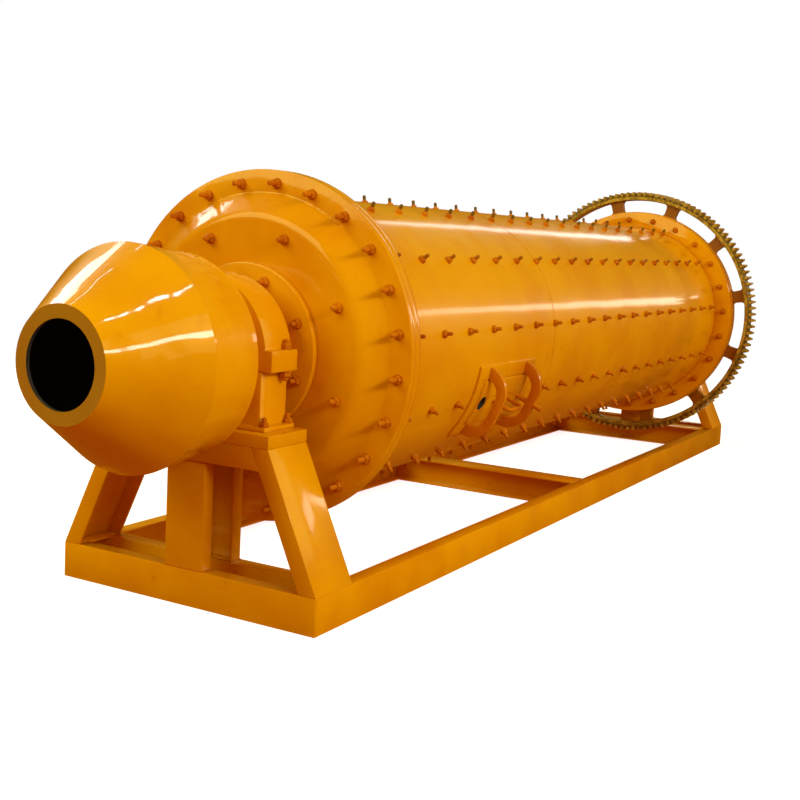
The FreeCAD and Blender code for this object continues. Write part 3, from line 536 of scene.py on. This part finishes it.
def drumBoltTree():  # rings and rows of bolts about the drum's axis
    tree, given = newTree("DrumBolts", {
        **boltSockets, "Around": ("Int", 12), "Along": ("Int", 1), "First X": ("Float", 0.0),
        "Pitch": ("Float", 0.2), "Radius": ("Float", 0.6), "Start Angle": ("Float", 0.0),
        "Axis Height": ("Float", 1.0), "Radial": ("Float", 0.0), "Forward": ("Float", -1.0),
        "Gap From": ("Float", 9.0), "Gap To": ("Float", 9.0), "Gap Row": ("Float", -1.0),
        "Seed": ("Int", 1), "Material": ("Material", None)})
    index = addNode(tree, "GeometryNodeInputIndex")
    row = calc(tree, "MODULO", index, given["Around"])
    column = calc(tree, "FLOOR", calc(tree, "DIVIDE", index, given["Around"]))
    step = calc(tree, "DIVIDE", math.tau, given["Around"])
    angle = calc(tree, "ADD", given["Start Angle"], calc(tree, "MULTIPLY", row, step))
    outY = calc(tree, "MULTIPLY", calc(tree, "COSINE", angle), -1.0)
    outZ = calc(tree, "SINE", angle)
    x = calc(tree, "ADD", given["First X"], calc(tree, "MULTIPLY", column, given["Pitch"]))
    y = calc(tree, "MULTIPLY", outY, given["Radius"])
    z = calc(tree, "ADD", given["Axis Height"], calc(tree, "MULTIPLY", outZ, given["Radius"]))
    place = addNode(tree, "ShaderNodeCombineXYZ", None, {0: x, 1: y, 2: z})
    points = addNode(tree, "GeometryNodePoints", None, {
        "Count": calc(tree, "MULTIPLY", given["Around"], given["Along"]), "Position": place})
    inGap = calc(tree, "MULTIPLY", calc(tree, "GREATER_THAN", x, given["Gap From"]),
                 calc(tree, "LESS_THAN", x, given["Gap To"]))
    onRow = calc(tree, "COMPARE", row, given["Gap Row"])
    setInputs(tree, onRow, {2: 0.1})  # rows are whole numbers, so any small margin does
    outward = addNode(tree, "ShaderNodeCombineXYZ", None, {1: outY, 2: outZ})
    ahead = addNode(tree, "ShaderNodeCombineXYZ", None, {0: given["Forward"]})
    facing = addNode(tree, "ShaderNodeMix", {"data_type": "VECTOR"}, {
        0: given["Radial"], 4: ahead, 5: outward})
    store = addNode(tree, "GeometryNodeStoreNamedAttribute", {
        "data_type": "FLOAT_VECTOR", "domain": "POINT"}, {
        "Geometry": points, "Name": "facing", "Value": facing.outputs[1]})
    kept = addNode(tree, "GeometryNodeDeleteGeometry", {"domain": "POINT"}, {
        "Geometry": store, "Selection": calc(tree, "MULTIPLY", inGap, onRow)})
    named = addNode(tree, "GeometryNodeInputNamedAttribute", {"data_type": "FLOAT_VECTOR"}, {
        "Name": "facing"})
    standBolts(tree, given, kept, named.outputs["Attribute"])
    return tree


def pointBoltTree():  # bolts on the vertices of the mesh that is given, all facing one way
    tree, given = newTree("PointBolts", {
        "Geometry": ("Geometry", None), **boltSockets, "Facing": ("Vector", (0, 0, 1)),
        "Seed": ("Int", 1), "Material": ("Material", None)})
    standBolts(tree, given, given["Geometry"], given["Facing"])
    return tree


drumBolts = drumBoltTree()
pointBolts = pointBoltTree()


def runTree(name, tree, values, mesh=None):
    obj = bpy.data.objects.new("working", mesh or bpy.data.meshes.new("working"))
    bpy.context.scene.collection.objects.link(obj)
    modifier = obj.modifiers.new(tree.name, "NODES")
    modifier.node_group = tree
    for item in tree.interface.items_tree:
        if item.in_out == "INPUT" and item.name in values:
            modifier[item.identifier] = values[item.name]
    bpy.context.view_layer.update()
    baked = bakedMesh(obj, name)
    finishMesh(baked)
    return baked


def boltSizes(thread, reach):  # a nut 1.7 threads across and 0.8 high, on a thin round washer
    return {"Across Flats": thread * 1.7, "Nut Height": thread * 0.8, "Stud Radius": thread / 2,
            "Stud Reach": reach, "Washer Radius": thread * 1.05, "Washer Thickness": thread * 0.15}


headFlange = 0.036  # thickness of a head's flange
drumBoltSets = {
    "feed_flange_bolts": {"Around": 24, "First X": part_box("feed_head")[1].x - headFlange, "Radius": 0.663,
                          "Start": 9.0, "Forward": -1.0, "thread": 0.021, "reach": 0.042},
    "feed_head_bolts": {"Around": 8, "First X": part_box("feed_head")[0].x, "Radius": 0.470,
                        "Start": 24.0, "Forward": -1.0, "thread": 0.021, "reach": 0.028},
    "feed_hub_bolts": {"Around": 8, "First X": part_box("feed_hub")[0].x, "Radius": 0.290,
                       "Start": 24.0, "Forward": -1.0, "thread": 0.021, "reach": 0.026},
    "discharge_flange_bolts": {"Around": 24, "First X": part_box("discharge_shell_flange")[0].x,
                               "Radius": 0.680, "Start": 4.5, "Forward": -1.0, "thread": 0.020,
                               "reach": 0.022},
    "discharge_flange_nuts": {"Around": 24, "First X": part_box("discharge_head")[0].x + headFlange,
                              "Radius": 0.680, "Start": 4.5, "Forward": 1.0, "thread": 0.020,
                              "reach": 0.022},
    "discharge_head_bolts": {"Around": 8, "First X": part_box("discharge_head")[1].x, "Radius": 0.470,
                             "Start": 24.0, "Forward": 1.0, "thread": 0.020, "reach": 0.008},
    "discharge_hub_bolts": {"Around": 8, "First X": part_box("discharge_hub")[1].x, "Radius": 0.290,
                            "Start": 24.0, "Forward": 1.0, "thread": 0.018, "reach": 0.004},
}
for seed, (name, spec) in enumerate(drumBoltSets.items(), start=11):
    mesh = runTree(name, drumBolts, {
        **boltSizes(spec["thread"], spec["reach"]), "Around": spec["Around"], "Along": 1,
        "First X": spec["First X"], "Radius": spec["Radius"], "Start Angle": math.radians(spec["Start"]),
        "Axis Height": axisHeight, "Radial": 0.0, "Forward": spec["Forward"], "Seed": seed,
        "Material": boltEnamel})
    addPiece(name, mesh, "drum")

# One row makes room for the manhole.
linerBolts = {"rows": 12, "perRow": 19, "firstX": -1.851, "pitch": 0.2441, "start": 7.5, "thread": 0.017,
              "reach": 0.026, "gapRow": 11, "gapMargin": 0.03}
manholeLow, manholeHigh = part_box("manhole_frame")
linerMesh = runTree("liner_bolts", drumBolts, {
    **boltSizes(linerBolts["thread"], linerBolts["reach"]), "Around": linerBolts["rows"],
    "Along": linerBolts["perRow"], "First X": linerBolts["firstX"], "Pitch": linerBolts["pitch"],
    "Radius": shellRadius, "Start Angle": math.radians(linerBolts["start"]), "Axis Height": axisHeight,
    "Radial": 1.0, "Gap From": manholeLow.x - linerBolts["gapMargin"],
    "Gap To": manholeHigh.x + linerBolts["gapMargin"], "Gap Row": float(linerBolts["gapRow"]), "Seed": 3,
    "Material": studSteel})
addPiece("liner_bolts", linerMesh, "drum")
print("drum bolts made")


# Studs and nuts of the two bearings: through the caps' lugs, and down through the feet.
bearingBolts = {"lugThread": 0.024, "lugReach": 0.016, "lugInset": 0.0225, "lugFromBack": 0.046,
                "lugHeight": 0.082, "footThread": 0.018, "footReach": 0.020, "footInset": 0.0165,
                "footFromEnd": 0.022, "footHeight": 0.018}
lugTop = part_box("feed_bearing_cap")[0].z + bearingBolts["lugHeight"]
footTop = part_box("feed_sole_plate")[1].z + bearingBolts["footHeight"]


def pointMesh(points):
    mesh = bpy.data.meshes.new("points")
    mesh.from_pydata([tuple(p) for p in points], [], [])
    return mesh


def bearingPoints(end):  # (cap top points, lug underside points, foot points)
    inward = 1 if end == "feed" else -1
    capLow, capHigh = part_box(f"{end}_bearing_cap")
    baseLow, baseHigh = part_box(f"{end}_bearing_base")
    inner = capHigh.x if inward == 1 else capLow.x
    lugX = inner - inward * bearingBolts["lugFromBack"]
    lugY = capHigh.y - bearingBolts["lugInset"]
    tops = [(lugX, side * lugY, lugTop) for side in (-1, 1)]
    unders = [(lugX, side * lugY, capLow.z) for side in (-1, 1)]
    footY = baseHigh.y - bearingBolts["footInset"]
    footEnds = (baseLow.x + bearingBolts["footFromEnd"], baseHigh.x - bearingBolts["footFromEnd"])
    feet = [(x, side * footY, footTop) for side in (-1, 1) for x in footEnds]
    return tops, unders, feet


for end in ends:
    tops, unders, feet = bearingPoints(end)
    sets = (("cap_nuts", tops, (0, 0, 1), "lug"), ("cap_lower_nuts", unders, (0, 0, -1), "lug"),
            ("foot_nuts", feet, (0, 0, 1), "foot"))
    for label, points, facing, kind in sets:
        mesh = runTree(f"{end}_{label}", pointBolts, {
            **boltSizes(bearingBolts[kind + "Thread"], bearingBolts[kind + "Reach"]), "Facing": facing,
            "Seed": 5, "Material": boltEnamel}, pointMesh(points))
        addPiece(f"{end}_{label}", mesh, "frame")
print("bearing bolts made")


# Weld beads by Geometry Nodes

# Radius and step in metres; lumps are a share of the radius.
beadLook = {"radius": 0.0045, "step": 0.012, "lumps": 0.35, "lumpScale": 45.0}


def weldTree():  # a bead along each edge path, lumpy as hand welding is
    tree, given = newTree("WeldBead", {
        "Geometry": ("Geometry", None), "Bead Radius": ("Float", 0.005), "Step": ("Float", 0.012),
        "Lumps": ("Float", 0.35), "Material": ("Material", None)})
    path = addNode(tree, "GeometryNodeMeshToCurve", None, {0: given["Geometry"]})
    even = addNode(tree, "GeometryNodeResampleCurve", {"mode": "LENGTH"}, {
        "Curve": path, "Length": given["Step"]})
    lump = addNode(tree, "ShaderNodeTexNoise", None, {"Scale": beadLook["lumpScale"], "Detail": 1.0})
    swell = calc(tree, "MULTIPLY", calc(tree, "SUBTRACT", lump.outputs[0], 0.5), given["Lumps"])
    size = calc(tree, "ADD", calc(tree, "MULTIPLY", swell, 2.0), 1.0)
    sized = addNode(tree, "GeometryNodeSetCurveRadius", None, {0: even, "Radius": size})
    section = addNode(tree, "GeometryNodeCurvePrimitiveCircle", None, {
        "Resolution": 8, "Radius": given["Bead Radius"]})
    bead = addNode(tree, "GeometryNodeCurveToMesh", None, {
        "Curve": sized, "Profile Curve": section.outputs[0], "Scale": size, "Fill Caps": True})
    painted = addNode(tree, "GeometryNodeSetMaterial", None, {0: bead, "Material": given["Material"]})
    addNode(tree, "NodeGroupOutput", None, {0: painted})
    return tree


weldBead = weldTree()


def pathMesh(paths):  # each path is (points, closed)
    verts, edges = [], []
    for points, closed in paths:
        first = len(verts)
        verts += [tuple(p) for p in points]
        edges += [(first + i, first + i + 1) for i in range(len(points) - 1)]
        if closed:
            edges.append((len(verts) - 1, first))
    mesh = bpy.data.meshes.new("paths")
    mesh.from_pydata(verts, edges, [])
    return mesh


def ringPath(x, radius, count=96):
    return [onDrum(x, radius, 360 * i / count) for i in range(count)], True


def footPath(node, z):  # the outline of an upright's foot at height z
    low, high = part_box(node)
    return [(low.x, low.y, z), (high.x, low.y, z), (high.x, high.y, z), (low.x, high.y, z)], True


def addWelds(name, paths, body, radius):  # round beads along paths; the manhole's handle is one too
    mesh = runTree(name, weldBead, {
        "Bead Radius": radius, "Step": beadLook["step"], "Lumps": beadLook["lumps"],
        "Material": boltEnamel}, pathMesh(paths))
    addPiece(name, mesh, body)


shellSeam = {"x": -0.3845, "sunk": 0.0030}  # ground nearly flush
addWelds("shell_welds", [ringPath(shellSeam["x"], shellRadius - shellSeam["sunk"]),
                         ringPath(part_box("feed_shell_flange")[1].x, shellRadius),
                         ringPath(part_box("discharge_shell_flange")[0].x, shellRadius)],
         "drum", beadLook["radius"])

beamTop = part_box("side_beam_near")[1].z
framePaths = []
for end in ends:
    for post in ("outer_post", "inner_post"):
        framePaths.append(footPath(f"{end}_{post}", beamTop))
        framePaths.append(footPath(f"{end}_{post}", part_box(f"{end}_{post}")[1].z))
for beam in ("front_inner_beam", "middle_cross_beam", "rear_inner_beam"):
    low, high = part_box(beam)
    for side in (-1, 1):
        y = side * high.y
        framePaths.append(([(low.x, y, beamTop), (high.x, y, beamTop)], False))
        for x in (low.x, high.x):
            framePaths.append(([(x, y, low.z), (x, y, beamTop)], False))
addWelds("frame_welds", framePaths, "frame", beadLook["radius"])
print("welds made")


# The manhole's lifting handle, sizes in metres

manholeLook = {"handleRadius": 0.010, "handleRise": 0.088, "handleHalf": 0.075, "handleFoot": 0.02,
               "bend": 0.025}
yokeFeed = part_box("manhole_yoke_feed")
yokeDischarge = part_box("manhole_yoke_discharge")
manholeX = (yokeFeed[0].x + yokeDischarge[1].x) / 2


def handlePath():  # a staple along the mill: foot, bend, grip, bend, foot
    half, rise, bend = (manholeLook[k] for k in ("handleHalf", "handleRise", "bend"))
    base = shellRadius + manholeLook["handleFoot"]
    flat = [(-half, 0.0), (-half, rise - bend)]
    flat += [(-half + bend * (1 - math.cos(t)), rise - bend * (1 - math.sin(t)))
             for t in (math.radians(a) for a in (22, 45, 68))]
    flat += [(-half + bend, rise)]
    flat += [(-x, z) for x, z in reversed(flat)]
    return [onDrum(manholeX + x, base + r, manholeRow) for x, r in flat], False


addWelds("manhole_handle", [handlePath()], "drum", manholeLook["handleRadius"])
print("manhole handle made")


# Stage, light and camera

# Half the floor's width and the distances over which it fades are in metres.
floorLook = {"half": 12.0, "fadeFrom": 4.5, "fadeTo": 9.0, "pale": "#F4F2EF", "mottled": "#EFEDEA",
             "roughness": 0.9, "glow": "#F4F5FF", "glowStrength": 0.85,
             "mottle": {"size": 900, "detail": 3.0, "from": 0.3, "to": 0.7}}
skyLook = {"from": -0.12, "to": 0.5, "low": "#A0540A", "high": "#AC8A28"}


def floorMaterial():  # pale studio floor that thins out into the backdrop
    material, tree, shader, place = newMaterial("paleFloor")
    mottle = blotches(tree, place.outputs["Object"], floorLook["mottle"])
    setInputs(tree, shader, {
        "Base Color": blendColour(tree, mottle, floorLook["pale"], floorLook["mottled"]),
        "Roughness": floorLook["roughness"],
        "Emission Color": linear(floorLook["glow"]),
        "Emission Strength": floorLook["glowStrength"]})
    distance = addNode(tree, "ShaderNodeVectorMath", {"operation": "LENGTH"}, {0: place.outputs["Object"]})
    fade = ramp(tree, distance.outputs["Value"], floorLook["fadeFrom"], floorLook["fadeTo"])
    clear = addNode(tree, "ShaderNodeBsdfTransparent")
    mix = addNode(tree, "ShaderNodeMixShader", None, {0: fade, 1: shader, 2: clear})
    output = [n for n in tree.nodes if n.bl_idname == "ShaderNodeOutputMaterial"][0]
    setInputs(tree, output, {"Surface": mix})
    return material


def addFloor():
    mesh = bpy.data.meshes.new("floor")
    half = floorLook["half"]
    corners = [(-half, -half, 0), (half, -half, 0), (half, half, 0), (-half, half, 0)]
    mesh.from_pydata(corners, [], [(0, 1, 2, 3)])
    mesh.materials.append(floorMaterial())
    floor = bpy.data.objects.new("floor", mesh)
    bpy.context.scene.collection.objects.link(floor)
    floor.visible_diffuse = False
    floor.visible_glossy = False


def addWorld():  # white behind the object; dim warm surroundings for its shade and reflections
    world = bpy.data.worlds.new("studio")
    bpy.context.scene.world = world
    world.use_nodes = True
    tree = world.node_tree
    tree.nodes.clear()
    place = addNode(tree, "ShaderNodeTexCoord")
    height = addNode(tree, "ShaderNodeSeparateXYZ", None, {0: place.outputs["Generated"]})
    sky = ramp(tree, height.outputs[2], skyLook["from"], skyLook["to"])
    colour = blendColour(tree, sky, skyLook["low"], skyLook["high"])
    around = addNode(tree, "ShaderNodeBackground", None, {"Color": colour, "Strength": 1.0})
    behind = addNode(tree, "ShaderNodeBackground", None, {"Color": (1, 1, 1, 1), "Strength": 1.0})
    path = addNode(tree, "ShaderNodeLightPath")
    mix = addNode(tree, "ShaderNodeMixShader", None, {
        0: path.outputs["Is Camera Ray"], 1: around, 2: behind})
    addNode(tree, "ShaderNodeOutputWorld", None, {0: mix})


# Where each light stands and what it is turned to, and its size, in metres, with its power in watts.
# Lean rolls a light about its own beam, in degrees.
softBoxes = {
    "keyBox": {"at": (0.4, -9.2, 5.2), "to": (0, 0, 0.9), "size": (14.0, 6.4), "power": 365,
               "colour": "#EEFF9C"},
    "frontBox": {"at": (-9.0, 4.0, 6.9), "to": (-2.2, 0, 0.9), "size": (8.0, 6.0), "power": 540,
                 "colour": "#F6FF98"},
    "nearStrip": {"at": (-3.8, -9.4, 5.1), "to": (-2.6, 0, 1.1), "size": (6.5, 0.8), "power": 400,
                  "colour": "#FFF6E6"},
    "farStrip": {"at": (14.0, -6.1, 3.5), "to": (0, -6.1, 3.5), "size": (5.6, 0.6), "power": 46,
                 "colour": "#FFEED2", "lean": -30},
    "upperStrip": {"at": (14.0, 2.7, 7.2), "to": (0, 2.7, 7.2), "size": (5.2, 0.6), "power": 38,
                   "colour": "#FFF2F0", "lean": 61},
    "legStrip": {"at": (14.0, -11.0, 5.06), "to": (-2.4, -0.6, 0.6), "size": (3.4, 2.0), "power": 110,
                 "colour": "#FFF0DC"},
    "roofLight": {"at": (-0.7, 7.6, 7.0), "to": (-2.2, 0, 1.4), "size": (2.0, 3.4), "power": 140,
                  "colour": "#FFFFFF"},
    "roofLine": {"at": (-1.9, 5.15, 9.7), "to": (-3.0, 0, 1.2), "size": (0.9, 0.25), "power": 6,
                 "colour": "#FFFFFF"},
    "lampLeft": {"at": (-5.25, -4.15, 10.1), "to": (-3.1, 0, 1.2), "size": (0.25, 0.35), "power": 12,
                 "colour": "#FFFFFF"},
    "lampRight": {"at": (-4.78, -4.45, 10.15), "to": (-3.0, 0, 1.2), "size": (0.3, 0.35), "power": 15,
                  "colour": "#FFFFFF"},
}


def addSoftBox(name, spec):
    light = bpy.data.lights.new(name, "AREA")
    light.shape = "RECTANGLE"
    light.size, light.size_y = spec["size"]
    light.energy = spec["power"]
    light.color = linear(spec["colour"])[:3]
    obj = bpy.data.objects.new(name, light)
    obj.location = spec["at"]
    beam = (Vector(spec["at"]) - Vector(spec["to"])).to_track_quat("Z", "Y").to_matrix()
    lean = Matrix.Rotation(math.radians(spec.get("lean", 0)), 3, "Z")
    obj.rotation_euler = (beam @ lean).to_euler()
    obj.visible_camera = False
    bpy.context.scene.collection.objects.link(obj)


# Turn, tilt and roll in degrees, the lens and the sensor in millimetres.
cameraLook = {"place": (-6.0455, -2.833, 1.441), "turn": 31.333, "tilt": -6.640, "roll": 2.6285,
              "lens": 54.08, "sensor": 36.0, "shift": (0.0733, -0.0304)}


def addCamera():
    turn, tilt, roll = (math.radians(cameraLook[k]) for k in ("turn", "tilt", "roll"))
    ahead = Vector((math.cos(turn) * math.cos(tilt), math.sin(turn) * math.cos(tilt), math.sin(tilt)))
    right = Vector((math.sin(turn), -math.cos(turn), 0))
    up = right.cross(ahead)
    across = right * math.cos(roll) + up * math.sin(roll)
    upright = up * math.cos(roll) - right * math.sin(roll)
    camera = bpy.data.cameras.new("camera")
    camera.lens = cameraLook["lens"]
    camera.sensor_width = cameraLook["sensor"]
    camera.shift_x, camera.shift_y = cameraLook["shift"]
    obj = bpy.data.objects.new("camera", camera)
    axes = Matrix((across, upright, -ahead)).transposed().to_4x4()
    obj.matrix_world = Matrix.Translation(cameraLook["place"]) @ axes
    bpy.context.scene.collection.objects.link(obj)
    bpy.context.scene.camera = obj


addFloor()
addWorld()
for name, spec in softBoxes.items():
    addSoftBox(name, spec)
addCamera()
bpy.context.scene.view_settings.view_transform = "Standard"
print("stage, light and camera set")
